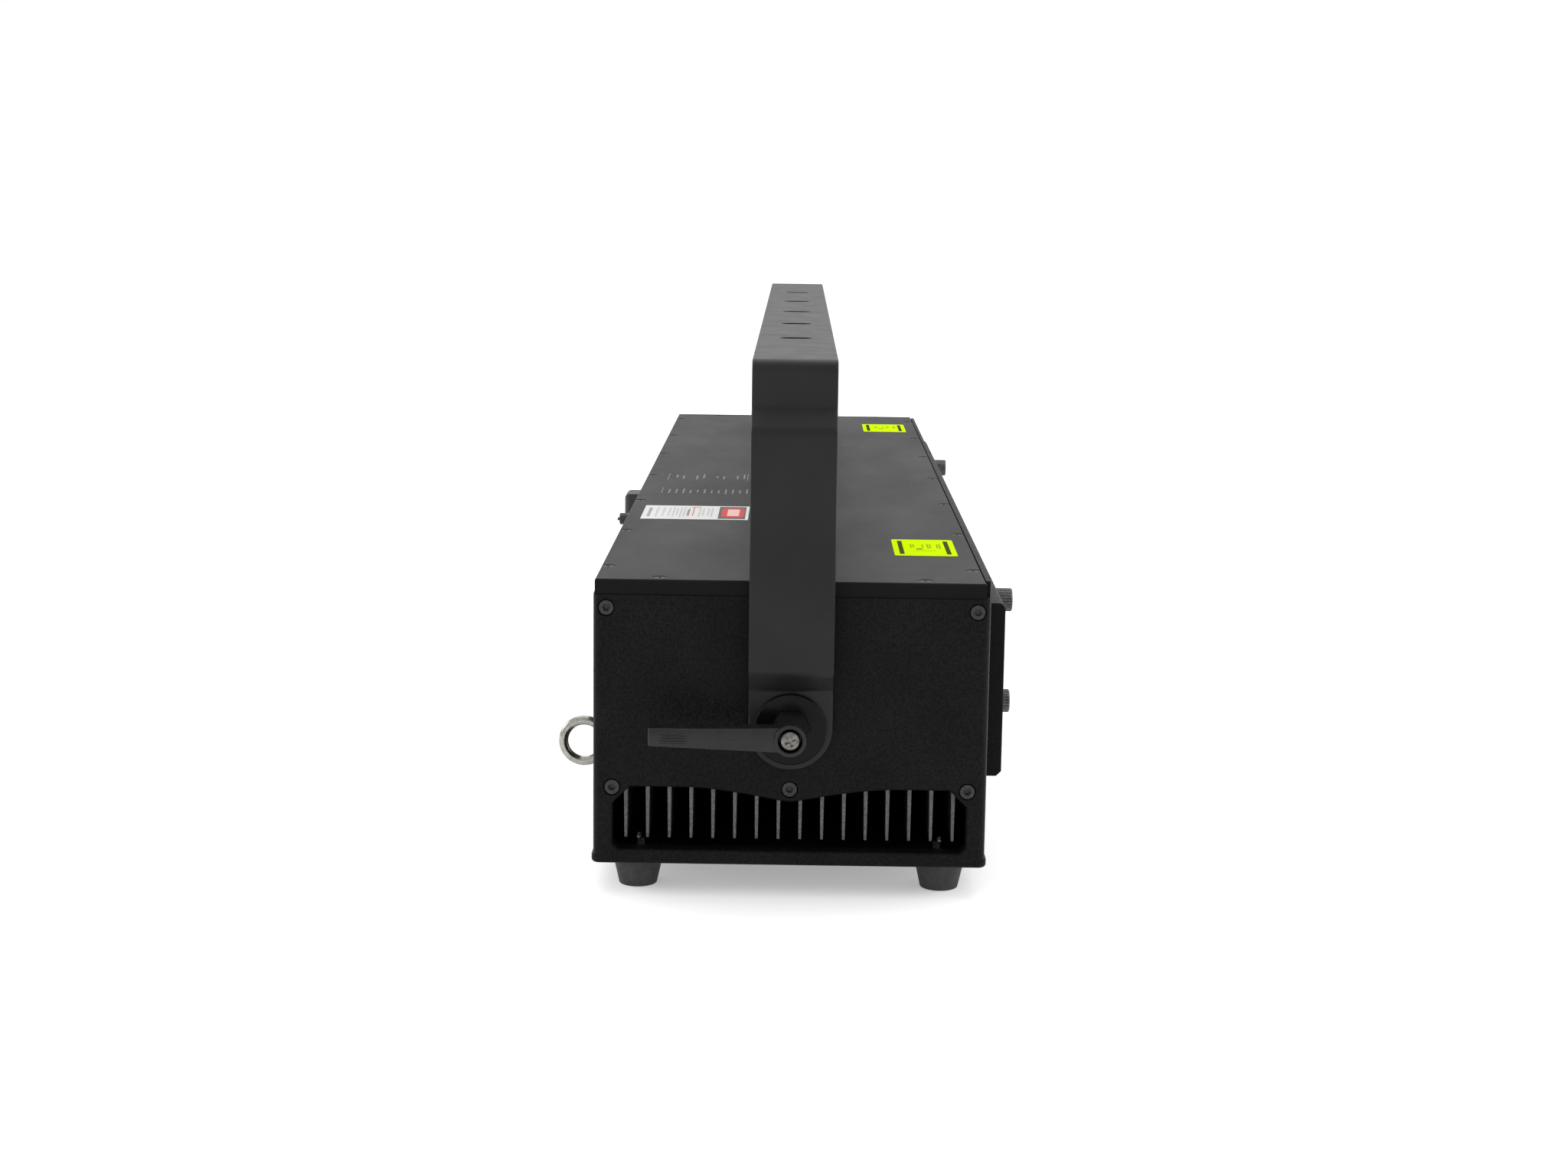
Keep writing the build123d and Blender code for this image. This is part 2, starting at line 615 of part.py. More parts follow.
# ---------------------------------------------------------------- rear controls
def power_inlet():
    """Mains inlet: a proud bezel with a round socket and a contact core."""
    with BuildPart() as inlet:
        block(rear_plane(INLET_X, INLET_Z), 26, 31, 16)
        outer = inlet.faces().sort_by(Axis.Y)[-1]
        fillet(outer.edges(), 3.5)
        disc(rear_plane(INLET_X, INLET_Z, -24), 10.4, 24)
        disc(rear_plane(INLET_X, INLET_Z, -20), 8.6, 36, Mode.SUBTRACT)
        disc(rear_plane(INLET_X, INLET_Z, -20), 3.4, 26)
    save(inlet, "power_inlet")


def fuse_holder():
    """Fuse holder's barrel with its panel ring and neck."""
    with BuildPart() as holder:
        disc(rear_plane(FUSE_X, FUSE_Z, -22), 4.9, 22)
        disc(rear_plane(FUSE_X, FUSE_Z), 6.2, 1.6)
        disc(rear_plane(FUSE_X, FUSE_Z), 2.6, 4.6)
        disc(rear_plane(FUSE_X, FUSE_Z, 1.6), 3.6, 1.2)
        disc(rear_plane(FUSE_X, FUSE_Z, -20), 1.5 + RUNNING, 26, Mode.SUBTRACT)
    save(holder, "fuse_holder")


def fuse_cap():
    """Bayonet cap of the fuse holder, with a grip rib across it."""
    with BuildPart() as cap:
        disc(rear_plane(FUSE_X, FUSE_Z, 5.0), 4.3, 8.5)
        fillet(cap.faces().sort_by(Axis.Y)[-1].edges(), 1)
        block(rear_plane(FUSE_X, FUSE_Z, 13.5), 7, 1.6, 1.4)
        disc(rear_plane(FUSE_X, FUSE_Z, -18), 1.5, 24)
    save(cap, "fuse_cap")


def key_switch():
    """Key switch's barrel and rosette."""
    with BuildPart() as lock:
        disc(rear_plane(KEY_X, KEY_Z, -22), 7.9, 22)
        disc(rear_plane(KEY_X, KEY_Z), 10.5, 3)
        chamfer(lock.faces().sort_by(Axis.Y)[-1].edges(), 0.8)
        disc(rear_plane(KEY_X, KEY_Z, -14), 4.0 + RUNNING, 20, Mode.SUBTRACT)
    save(lock, "key_switch")


def key():
    """Key in its turning cylinder, with a flat bow."""
    with BuildPart() as piece:
        disc(rear_plane(KEY_X, KEY_Z, -13), 4.0, 15.8)
        block(rear_plane(KEY_X, KEY_Z, 2), 2.0, 6.5, 6)
        bow = Plane(origin=(KEY_X - 1, HALF_W + 16, KEY_Z), z_dir=(1, 0, 0))
        disc(bow, 9, 2)
        disc(bow, 3, 2, Mode.SUBTRACT)
    save(piece, "key")


def rocker():
    """Mains rocker switch: the bezel, and the rocker on its cross axis."""
    with BuildPart() as bezel:
        block(rear_plane(ROCKER_X, ROCKER_Z), 22, 30, 2, 1.5)
        block(rear_plane(ROCKER_X, ROCKER_Z, -18), 18.8, 25.8, 18)
        block(rear_plane(ROCKER_X, ROCKER_Z, -12), 15, 22, 20, mode=Mode.SUBTRACT)
    save(bezel, "rocker_bezel")
    half, width, pin_y = 8.2, 14.0, HALF_W - 4
    with BuildPart() as paddle:
        with BuildSketch(Plane.YZ.offset(ROCKER_X - width / 2)):
            with BuildLine():
                Polyline(
                    (pin_y, ROCKER_Z - half), (HALF_W, ROCKER_Z - half), (HALF_W + 0.8, ROCKER_Z),
                    (HALF_W + 3.4, ROCKER_Z + half), (pin_y, ROCKER_Z + half), close=True,
                )
            make_face()
        extrude(amount=width)
        pin = Plane(origin=(ROCKER_X - width / 2 - 0.3, pin_y, ROCKER_Z), z_dir=(1, 0, 0))
        disc(pin, 1.5, width + 0.6)
    save(paddle, "rocker_paddle")


def data_sockets():
    """Round signal sockets with square flanges and contact cores."""
    with BuildPart() as sockets:
        for x in DATA_X:
            block(rear_plane(x, DATA_Z), 26, 31, 2.5, 2)
            disc(rear_plane(x, DATA_Z, -20), 10.9, 20)
            disc(rear_plane(x, DATA_Z, -17), 9.0, 22, Mode.SUBTRACT)
            disc(rear_plane(x, DATA_Z, -17), 6.0, 10)
            with BuildSketch(rear_plane(x, DATA_Z, -7)):
                with PolarLocations(3.6, 3):
                    Circle(1.2)
            extrude(amount=-4, mode=Mode.SUBTRACT)
    save(sockets, "data_sockets")


def menu_controls():
    """Small display with its bezel, and the push-and-turn knob beside it."""
    with BuildPart() as panel:
        block(rear_plane(MENU_X, MENU_Z), 34, 20, 1.6, 2)
        block(rear_plane(MENU_X, MENU_Z, 1.0), 28, 14, 1, mode=Mode.SUBTRACT)
        disc(rear_plane(MENU_KNOB_X, MENU_Z, -PANEL_THICK), 7, -10)
        disc(rear_plane(MENU_KNOB_X, MENU_Z), 2.9 + RUNNING, -14, Mode.SUBTRACT)
    save(panel, "menu_display")
    with BuildPart() as shaft:
        disc(rear_plane(MENU_KNOB_X, MENU_Z, -8), 2.9, 16)
    save(shaft, "menu_shaft")
    with BuildPart() as knob:
        disc(rear_plane(MENU_KNOB_X, MENU_Z, 3.2), 6.5, 8)
        chamfer(knob.faces().sort_by(Axis.Y)[-1].edges(), 0.8)
        disc(rear_plane(MENU_KNOB_X, MENU_Z), 2.9 + RUNNING, 8.2, Mode.SUBTRACT)
        with BuildSketch(rear_plane(MENU_KNOB_X, MENU_Z, 3.2)):
            with PolarLocations(6.6, 16):
                Circle(0.4)
        extrude(amount=8, mode=Mode.SUBTRACT)
        with BuildSketch(rear_plane(MENU_KNOB_X, MENU_Z, 11.2)):
            with Locations((0, 3.8)):
                Circle(0.8)
        extrude(amount=-0.4, mode=Mode.SUBTRACT)
    save(knob, "menu_knob")


# ---------------------------------------------------------------- fans
def fan_frames():
    """Square frames of the duct fans, each with a hub disc on four struts."""
    with BuildPart() as frames:
        for y in FAN_Y:
            back = Plane(origin=(-FAN_DEPTH / 2, y, FAN_Z), x_dir=(0, 1, 0), z_dir=(1, 0, 0))
            block(back, FAN_SIZE, FAN_SIZE, FAN_DEPTH, 3)
            disc(back, 18.8, FAN_DEPTH, Mode.SUBTRACT)
            disc(back, 9, 2)
            for turn in (45, 135):
                with BuildSketch(back):
                    Rectangle(38.5, 2.4, rotation=turn)
                extrude(amount=2)
            disc(back, 1.5, 14)
    save(frames, "fan_frames")


def fan_rotor(number, y):
    """Fan rotor: a hub with seven set blades."""
    back = Plane(origin=(-FAN_DEPTH / 2 + 2.6, y, FAN_Z), x_dir=(0, 1, 0), z_dir=(1, 0, 0))
    with BuildPart() as rotor:
        disc(back, 9.5, 15)
        with Locations(back.offset(7.5).location):
            with PolarLocations(13.2, 7):
                Box(9, 1.2, 14, rotation=(38, 0, 0))
        disc(back, 18, 15, Mode.INTERSECT)
        disc(back, 1.5 + RUNNING, 12, Mode.SUBTRACT)
    save(rotor, f"fan_rotor_{number}")


# ---------------------------------------------------------------- beam heads and electronics
MODULE_OFFSETS = (-140.0, -95.0, -50.0)


def laser_modules():
    """Three diode modules for each beam head, on the bench."""
    with BuildPart() as modules:
        for head in HEAD_X:
            for offset in MODULE_OFFSETS:
                block(Plane((head + offset, 20, BENCH_TOP)), 34, 70, 44, 3)
                beam = Plane(origin=(head + offset, -15, BEAM_Z), z_dir=(0, -1, 0))
                disc(beam, 7, 6)
                disc(beam, 3, 6, Mode.SUBTRACT)
    save(modules, "laser_modules")


def combiner_mirrors():
    """Dichroic plates on posts that fold the three beams into one."""
    with BuildPart() as mirrors:
        for head in HEAD_X:
            for offset in MODULE_OFFSETS:
                disc(Plane((head + offset, BEAM_Y, BENCH_TOP)), 4, BEAM_Z - BENCH_TOP - 7)
                with Locations(Location((head + offset, BEAM_Y, BEAM_Z), (0, 0, 45))):
                    Box(14, 1.5, 14.1)
    save(mirrors, "combiner_mirrors")


def scanner_blocks():
    """Scanner mounts, each with its two galvanometer motors."""
    with BuildPart() as blocks:
        for head in HEAD_X:
            block(Plane((head, BEAM_Y + 24, BENCH_TOP)), 24, 26, BEAM_Z - BENCH_TOP + 9)
            low = Plane(origin=(head, BEAM_Y + 8, BEAM_Z), z_dir=(0, 1, 0))
            disc(low, 6.5, 42)
            disc(low, 1.2 + RUNNING, 12, Mode.SUBTRACT)
            block(Plane((head + 24, BEAM_Y, BENCH_TOP)), 26, 20, BEAM_Z + BEAM_RISE - BENCH_TOP + 9)
            high = Plane(origin=(head + 8, BEAM_Y, BEAM_Z + BEAM_RISE), z_dir=(1, 0, 0))
            disc(high, 6.5, 42)
            disc(high, 1.2 + RUNNING, 12, Mode.SUBTRACT)
    save(blocks, "scanner_blocks")


def galvo_mirrors(name, head):
    """The two scanning mirrors of a head, each on its own shaft."""
    with BuildPart() as first:
        disc(Plane(origin=(head, BEAM_Y - 4, BEAM_Z), z_dir=(0, 1, 0)), 1.2, 22)
        with Locations(Location((head, BEAM_Y, BEAM_Z), (0, 45, 0))):
            Box(1.2, 8, 7)
    save(first, f"pan_mirror_{name}")
    with BuildPart() as second:
        disc(Plane(origin=(head - 5, BEAM_Y, BEAM_Z + BEAM_RISE), z_dir=(1, 0, 0)), 1.2, 22)
        with Locations(Location((head, BEAM_Y, BEAM_Z + BEAM_RISE), (45, 0, 0))):
            Box(11, 1.2, 8)
    save(second, f"tilt_mirror_{name}")


def electronics():
    """Power supply, driver boards and control board."""
    with BuildPart() as supply:
        block(Plane((410, 0, BENCH_TOP)), 110, 190, 56)
        fillet(supply.edges().filter_by(Axis.Z), 2)
        for z in (90.0, 100.0, 110.0, 120.0):
            vents = Plane(origin=(355, 0, z), z_dir=(-1, 0, 0))
            with BuildSketch(vents):
                with GridLocations(0, 24, 1, 6):
                    SlotOverall(16, 4, rotation=90)
            extrude(amount=-6, mode=Mode.SUBTRACT)
    save(supply, "power_supply")
    with BuildPart() as drivers:
        for x in (-220.0, 80.0):
            block(Plane((x, 20, BENCH_TOP + 8)), 70, 130, 1.6)
            for y in (-30.0, 20.0, 70.0):
                block(Plane((x, y, BENCH_TOP)), 8, 8, 8)
                block(Plane((x, y, BENCH_TOP + 9.6)), 40, 22, 12)
    save(drivers, "driver_boards")
    with BuildPart() as control:
        block(Plane((-90, 80, BENCH_TOP + 8)), 120, 30, 1.6)
        for x in (-140.0, -40.0):
            block(Plane((x, 80, BENCH_TOP)), 8, 8, 8)
        for x in (-125.0, -90.0, -55.0):
            block(Plane((x, 80, BENCH_TOP + 9.6)), 18, 18, 4)
    save(control, "control_board")


# ---------------------------------------------------------------- labels
def labels():
    """Plain stickers on the cover."""
    thick = 0.25
    with BuildPart() as caution:
        for x in (-362.0, 386.0):
            block(Plane((x, -82.5, COVER_TOP)), 68, 39, thick, 2.5)
    save(caution, "caution_labels")
    with BuildPart() as data:
        block(Plane((-213, 67.5, COVER_TOP)), 68, 73, thick, 0.8)
    save(data, "data_label")


# ---------------------------------------------------------------- whole object
def main():
    base_plate()
    end_plate_screws()
    optical_bench()
    cooling_fins()
    front_panel()
    rear_panel()
    top_cover()
    cover_screws()
    feet()
    foot_screws()
    eyebolts()
    pivot_bushes()
    yoke()
    friction_discs()
    for name, side in SIDES.items():
        end_plate(name, side)
        lever_stud(name, side)
        lever_screw(name, side)
        lever_spring(name, side)
        lever(name, side)
        for row in KNOB_ROWS:
            thumb_screw(row, name, side)
    mask_plate()
    beam_windows()
    power_inlet()
    fuse_holder()
    fuse_cap()
    key_switch()
    key()
    rocker()
    data_sockets()
    menu_controls()
    fan_frames()
    for number, y in enumerate(FAN_Y, start=1):
        fan_rotor(number, y)
    laser_modules()
    combiner_mirrors()
    scanner_blocks()
    for name, head in zip(HEAD_NAMES, HEAD_X):
        galvo_mirrors(name, head)
    electronics()
    labels()


main()
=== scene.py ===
"""Looks of the stage laser projector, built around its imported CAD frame."""
import json
import math
import random

import bmesh
import bpy
from mathutils import Matrix, Vector


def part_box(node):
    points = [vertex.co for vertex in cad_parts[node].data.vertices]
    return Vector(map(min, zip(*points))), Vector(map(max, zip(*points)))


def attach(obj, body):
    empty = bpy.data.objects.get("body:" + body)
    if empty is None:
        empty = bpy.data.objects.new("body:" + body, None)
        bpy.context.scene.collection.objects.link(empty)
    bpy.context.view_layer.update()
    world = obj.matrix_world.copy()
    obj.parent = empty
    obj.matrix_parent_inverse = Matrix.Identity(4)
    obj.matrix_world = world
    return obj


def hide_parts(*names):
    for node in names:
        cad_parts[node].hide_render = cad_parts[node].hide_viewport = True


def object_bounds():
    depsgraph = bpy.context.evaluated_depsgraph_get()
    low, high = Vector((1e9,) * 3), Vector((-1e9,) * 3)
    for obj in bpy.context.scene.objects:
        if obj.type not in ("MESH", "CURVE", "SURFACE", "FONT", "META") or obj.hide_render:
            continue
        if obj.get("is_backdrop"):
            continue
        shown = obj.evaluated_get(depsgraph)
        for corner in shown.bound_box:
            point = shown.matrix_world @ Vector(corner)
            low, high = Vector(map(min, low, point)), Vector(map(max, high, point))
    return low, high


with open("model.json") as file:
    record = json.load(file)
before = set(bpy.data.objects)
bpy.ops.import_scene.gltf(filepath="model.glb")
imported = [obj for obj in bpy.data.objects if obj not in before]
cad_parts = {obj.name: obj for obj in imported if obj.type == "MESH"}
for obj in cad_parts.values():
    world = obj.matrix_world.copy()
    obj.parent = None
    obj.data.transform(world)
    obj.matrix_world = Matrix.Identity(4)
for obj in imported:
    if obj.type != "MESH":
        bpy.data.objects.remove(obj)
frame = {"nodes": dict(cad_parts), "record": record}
CAD_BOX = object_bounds()
MM = 0.001


# ---------------------------------------------------------------- camera and studio
CAMERA_PLACE = (-1.886, -0.001, 0.417)
CAMERA_LENS = 56.06             # millimetres, on a sensor 36 mm wide
CAMERA_PITCH = math.radians(9.53)
CAMERA_YAW = math.radians(0.24)
CAMERA_ROLL = math.radians(0.77)
FLOOR_RADIUS = 14.0
FLOOR_SIDES = 96


def make_camera():
    """Camera in front of the left end plate, a little above the cover, looking along +X."""
    data = bpy.data.cameras.new("camera")
    data.lens = CAMERA_LENS
    data.sensor_width = 36.0
    camera = bpy.data.objects.new("camera", data)
    turn = (
        Matrix.Rotation(CAMERA_YAW - math.pi / 2, 4, "Z")
        @ Matrix.Rotation(math.pi / 2 - CAMERA_PITCH, 4, "X")
        @ Matrix.Rotation(CAMERA_ROLL, 4, "Z")
    )
    camera.matrix_world = Matrix.Translation(CAMERA_PLACE) @ turn
    bpy.context.scene.collection.objects.link(camera)
    bpy.context.scene.camera = camera


def make_world():
    world = bpy.data.worlds.new("studio")
    bpy.context.scene.world = world
    world.use_nodes = True
    background = world.node_tree.nodes["Background"]
    background.inputs["Color"].default_value = (1.0, 1.0, 1.0, 1.0)
    background.inputs["Strength"].default_value = 1.0


def make_floor():
    """Wide, flat, round, pale floor."""
    mesh = bmesh.new()
    bmesh.ops.create_circle(mesh, cap_ends=True, segments=FLOOR_SIDES, radius=FLOOR_RADIUS)
    data = bpy.data.meshes.new("studio_floor")
    mesh.to_mesh(data)
    mesh.free()
    data.materials.append(studio_paint())
    floor = bpy.data.objects.new("studio_floor", data)
    bpy.context.scene.collection.objects.link(floor)
    floor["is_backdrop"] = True


def softbox(name, place, target, size, watts):
    """Rectangular area light at place, facing target, in metres."""
    data = bpy.data.lights.new(name, "AREA")
    data.shape = "RECTANGLE"
    data.size, data.size_y = size
    data.energy = watts
    light = bpy.data.objects.new(name, data)
    light.location = place
    light.rotation_euler = (Vector(target) - Vector(place)).to_track_quat("-Z", "Y").to_euler()
    bpy.context.scene.collection.objects.link(light)


def make_lights():
    softbox("softbox_top", place=(0.9, 0.0, 2.5), target=(0.2, 0, 0), size=(3.0, 3.0), watts=34)
    for name, side in (("softbox_front", -1), ("softbox_rear", 1)):
        softbox(name, place=(0.5, 2.8 * side, 1.3), target=(0, 0, 0.1), size=(2.4, 1.4), watts=32)


# ---------------------------------------------------------------- materials
class Paint:
    """A Principled material with helpers for its procedural detail, in metres."""

    def __init__(self, name, colour, roughness, metallic=0.0, specular=0.5, **sockets):
        self.material = bpy.data.materials.new(name)
        self.material.use_nodes = True
        self.tree = self.material.node_tree
        self.shader = self.tree.nodes["Principled BSDF"]
        self.shader.inputs["Base Color"].default_value = (*colour, 1.0)
        self.shader.inputs["Roughness"].default_value = roughness
        self.shader.inputs["Metallic"].default_value = metallic
        self.shader.inputs["Specular IOR Level"].default_value = specular
        for socket, value in sockets.items():
            self.shader.inputs[socket.replace("_", " ")].default_value = value
        self.coordinates = self.tree.nodes.new("ShaderNodeTexCoord")
        self.last_bump = None

    def link(self, source, target):
        self.tree.links.new(source, target)

    def place(self, stretch=(1, 1, 1)):
        """Object coordinates, scaled along each axis."""
        if stretch == (1, 1, 1):
            return self.coordinates.outputs["Object"]
        mapping = self.tree.nodes.new("ShaderNodeMapping")
        mapping.inputs["Scale"].default_value = stretch
        self.link(self.coordinates.outputs["Object"], mapping.inputs["Vector"])
        return mapping.outputs["Vector"]

    def noise(self, size, detail=2.0, rough=0.5, stretch=(1, 1, 1)):
        """Noise whose blobs are about size metres across."""
        node = self.tree.nodes.new("ShaderNodeTexNoise")
        node.inputs["Scale"].default_value = 1.0 / size
        node.inputs["Detail"].default_value = detail
        node.inputs["Roughness"].default_value = rough
        self.link(self.place(stretch), node.inputs["Vector"])
        return node.outputs["Fac"]

    def cells(self, size):
        """Distance to the nearest of scattered points, size metres apart."""
        node = self.tree.nodes.new("ShaderNodeTexVoronoi")
        node.inputs["Scale"].default_value = 1.0 / size
        self.link(self.place(), node.inputs["Vector"])
        return node.outputs["Distance"]

    def ramp(self, source, *stops):
        """Colour or grey stops, each (position, value), read along source."""
        node = self.tree.nodes.new("ShaderNodeValToRGB")
        elements = node.color_ramp.elements
        while len(elements) < len(stops):
            elements.new(0.5)
        for element, (position, value) in zip(elements, stops):
            element.position = position
            tone = value if isinstance(value, tuple) else (value, value, value)
            element.color = (*tone, 1.0)
        self.link(source, node.inputs["Fac"])
        return node.outputs["Color"]

    def mix(self, factor, first, second):
        """First where factor is 0, second where it is 1."""
        node = self.tree.nodes.new("ShaderNodeMix")
        node.data_type = "RGBA"
        self.link(factor, node.inputs["Factor"])
        self.link(first, node.inputs[6])
        self.link(second, node.inputs[7])
        return node.outputs[2]

    def above(self, height):
        """1 where the object's Z coordinate is over height, and 0 below it."""
        split = self.tree.nodes.new("ShaderNodeSeparateXYZ")
        self.link(self.coordinates.outputs["Object"], split.inputs[0])
        node = self.tree.nodes.new("ShaderNodeMath")
        node.operation = "GREATER_THAN"
        self.link(split.outputs["Z"], node.inputs[0])
        node.inputs[1].default_value = height
        return node.outputs[0]

    def colour(self, source):
        self.link(source, self.shader.inputs["Base Color"])

    def roughness(self, source):
        self.link(source, self.shader.inputs["Roughness"])

    def bump(self, height, depth):
        """Adds a relief of depth metres to the surface's normal."""
        node = self.tree.nodes.new("ShaderNodeBump")
        node.inputs["Distance"].default_value = depth
        node.inputs["Strength"].default_value = 1.0
        self.link(height, node.inputs["Height"])
        if self.last_bump is not None:
            self.link(self.last_bump, node.inputs["Normal"])
        self.last_bump = node.outputs["Normal"]
        self.link(self.last_bump, self.shader.inputs["Normal"])


def grey(value, tint=(1.0, 1.0, 1.0)):
    return tuple(value * channel for channel in tint)


def powder(name, tone, roughness, specular, grain, depth):
    """Powder coat: speckled dark and light, with a fine pebbled skin."""
    tint = (1, 1, 1.02)
    paint = Paint(name, grey(tone, tint), roughness, specular=specular)
    mottle = paint.noise(0.035, 3.0)
    specks = paint.noise(grain, 2.0, 0.6)
    dark = paint.ramp(mottle, (0.3, grey(tone * 0.4, tint)), (0.7, grey(tone * 0.7, tint)))
    light = paint.ramp(mottle, (0.3, grey(tone * 1.6, tint)), (0.7, grey(tone * 2.2, tint)))
    paint.colour(paint.mix(paint.ramp(specks, (0.38, 0.0), (0.62, 1.0)), dark, light))
    paint.roughness(paint.ramp(specks, (0.35, roughness - 0.07), (0.65, roughness + 0.09)))
    paint.bump(specks, depth)
    paint.bump(paint.noise(0.012, 1.0), depth * 1.5)
    return paint.material


def cover_coat():
    """Smooth satin black: very dark face on, pale at a grazing angle."""
    paint = Paint("cover_coat", grey(0.0015), 0.46, specular=0.11)
    paint.colour(paint.ramp(paint.noise(0.06, 4.0, 0.6), (0.3, grey(0.001)), (0.7, grey(0.002))))
    smears = paint.noise(0.09, 4.0, 0.65, (0.5, 1.4, 1.0))
    paint.roughness(paint.ramp(smears, (0.3, 0.43), (0.7, 0.5)))
    paint.bump(paint.noise(0.0011, 2.0, 0.6), 0.00003)
    return paint.material


def yoke_paint():
    paint = Paint("yoke_paint", grey(0.01), 0.4, specular=0.2)
    tint = (0.98, 1.01, 1.0)
    paint.colour(paint.ramp(paint.noise(0.05, 3.0), (0.3, grey(0.008, tint)), (0.7, grey(0.012, tint))))
    paint.roughness(paint.ramp(paint.noise(0.02, 4.0, 0.7), (0.3, 0.40), (0.7, 0.48)))
    paint.bump(paint.noise(0.0016, 2.0, 0.55), 0.00003)
    return paint.material


def lever_enamel():
    paint = Paint("lever_enamel", grey(0.018, (1, 1.02, 0.99)), 0.3, specular=0.28)
    rub = paint.noise(0.014, 4.0, 0.65)
    dark, worn = grey(0.007, (1, 1.02, 0.99)), grey(0.013, (1, 1.02, 0.98))
    paint.colour(paint.ramp(rub, (0.35, dark), (0.75, worn)))
    paint.roughness(paint.ramp(paint.noise(0.0035, 3.0, 0.6), (0.3, 0.24), (0.7, 0.38)))
    paint.bump(paint.noise(0.0009, 2.0, 0.6), 0.00004)
    return paint.material


def disc_plastic():
    paint = Paint("disc_plastic", grey(0.003), 0.14, specular=0.10)
    paint.colour(paint.ramp(paint.noise(0.02), (0.3, grey(0.002)), (0.7, grey(0.004))))
    paint.roughness(paint.ramp(paint.noise(0.004, 4.0, 0.7), (0.35, 0.12), (0.7, 0.26)))
    paint.bump(paint.noise(0.006, 2.0), 0.00003)
    return paint.material


def oxide_screw():
    paint = Paint("black_screws", grey(0.02), 0.3, specular=0.3)
    paint.colour(paint.ramp(paint.noise(0.0016, 3.0), (0.35, grey(0.01)), (0.7, grey(0.03))))
    paint.roughness(paint.ramp(paint.noise(0.0009, 2.0), (0.3, 0.28), (0.7, 0.45)))
    paint.bump(paint.noise(0.0005, 2.0), 0.00002)
    return paint.material


def zinc_steel(name, dark, light):
    """Zinc plating: warm, slightly clouded steel."""
    warm = (1.0, 0.98, 0.89)
    paint = Paint(name, grey(light, warm), 0.2, metallic=1.0)
    clouds = paint.noise(0.004, 4.0, 0.65)
    paint.colour(paint.ramp(clouds, (0.3, grey(dark, warm)), (0.7, grey(light, warm))))
    paint.roughness(paint.ramp(paint.noise(0.0012, 3.0, 0.6), (0.3, 0.12), (0.7, 0.3)))
    paint.bump(paint.noise(0.0008, 3.0, 0.6), 0.00003)
    return paint.material


def black_aluminium():
    paint = Paint("black_aluminium", grey(0.035), 0.42, metallic=0.55)
    paint.colour(paint.ramp(paint.noise(0.0018, 3.0, 0.7), (0.35, grey(0.05)), (0.72, grey(0.14))))
    streaks = paint.noise(0.0006, 2.0, 0.5, (0.06, 1.0, 1.0))
    paint.roughness(paint.ramp(streaks, (0.3, 0.36), (0.7, 0.52)))
    paint.bump(streaks, 0.00003)
    return paint.material


def foot_rubber():
    paint = Paint("foot_rubber", grey(0.016), 0.72, specular=0.35)
    dust = paint.noise(0.006, 4.0, 0.7)
    paint.colour(paint.ramp(dust, (0.3, grey(0.026)), (0.75, grey(0.045, (1, 1, 0.97)))))
    paint.roughness(paint.ramp(paint.noise(0.002, 3.0), (0.3, 0.62), (0.7, 0.8)))
    paint.bump(paint.noise(0.0007, 3.0, 0.7), 0.00006)
    return paint.material


def bush_brass():
    paint = Paint("bush_brass", (0.62, 0.44, 0.17), 0.28, metallic=1.0)
    clouds = paint.noise(0.003, 4.0, 0.6)
    paint.colour(paint.ramp(clouds, (0.3, (0.5, 0.35, 0.13)), (0.7, (0.7, 0.5, 0.2))))
    paint.roughness(paint.ramp(paint.noise(0.0008, 2.0), (0.3, 0.22), (0.7, 0.36)))
    return paint.material


def moulded(name, colour, roughness, specular=0.5, **sockets):
    """Moulded plastic with a fine spark-eroded texture."""
    paint = Paint(name, colour, roughness, specular=specular, **sockets)
    darker, lighter = [tuple(c * k for c in colour) for k in (0.85, 1.18)]
    paint.colour(paint.ramp(paint.noise(0.01, 3.0), (0.3, darker), (0.7, lighter)))
    grain = paint.noise(0.0015, 2.0)
    paint.roughness(paint.ramp(grain, (0.3, roughness - 0.05), (0.7, roughness + 0.06)))
    paint.bump(paint.noise(0.0005, 2.0, 0.6), 0.00003)
    return paint.material


def lock_chrome():
    paint = Paint("lock_chrome", grey(0.72), 0.12, metallic=1.0)
    paint.colour(paint.ramp(paint.noise(0.006, 3.0), (0.3, grey(0.66)), (0.7, grey(0.78))))
    paint.roughness(paint.ramp(paint.noise(0.002, 4.0, 0.7), (0.35, 0.08), (0.7, 0.2)))
    return paint.material


def bare_aluminium():
    paint = Paint("bare_aluminium", grey(0.6, (1, 1, 1.01)), 0.32, metallic=1.0)
    lines = paint.noise(0.0007, 3.0, 0.6, (0.05, 1.0, 1.0))
    paint.colour(paint.ramp(lines, (0.3, grey(0.52)), (0.7, grey(0.66))))
    paint.roughness(paint.ramp(paint.noise(0.004, 3.0), (0.3, 0.26), (0.7, 0.4)))
    paint.bump(lines, 0.00002)
    return paint.material


def window_glass():
    paint = Paint("window_glass", (0.86, 0.93, 0.9), 0.02, Transmission_Weight=1.0, IOR=1.5)
    paint.roughness(paint.ramp(paint.noise(0.015, 4.0, 0.7), (0.4, 0.01), (0.75, 0.07)))
    paint.colour(paint.ramp(paint.noise(0.03, 2.0), (0.3, (0.84, 0.92, 0.89)), (0.7, (0.9, 0.95, 0.93))))
    return paint.material


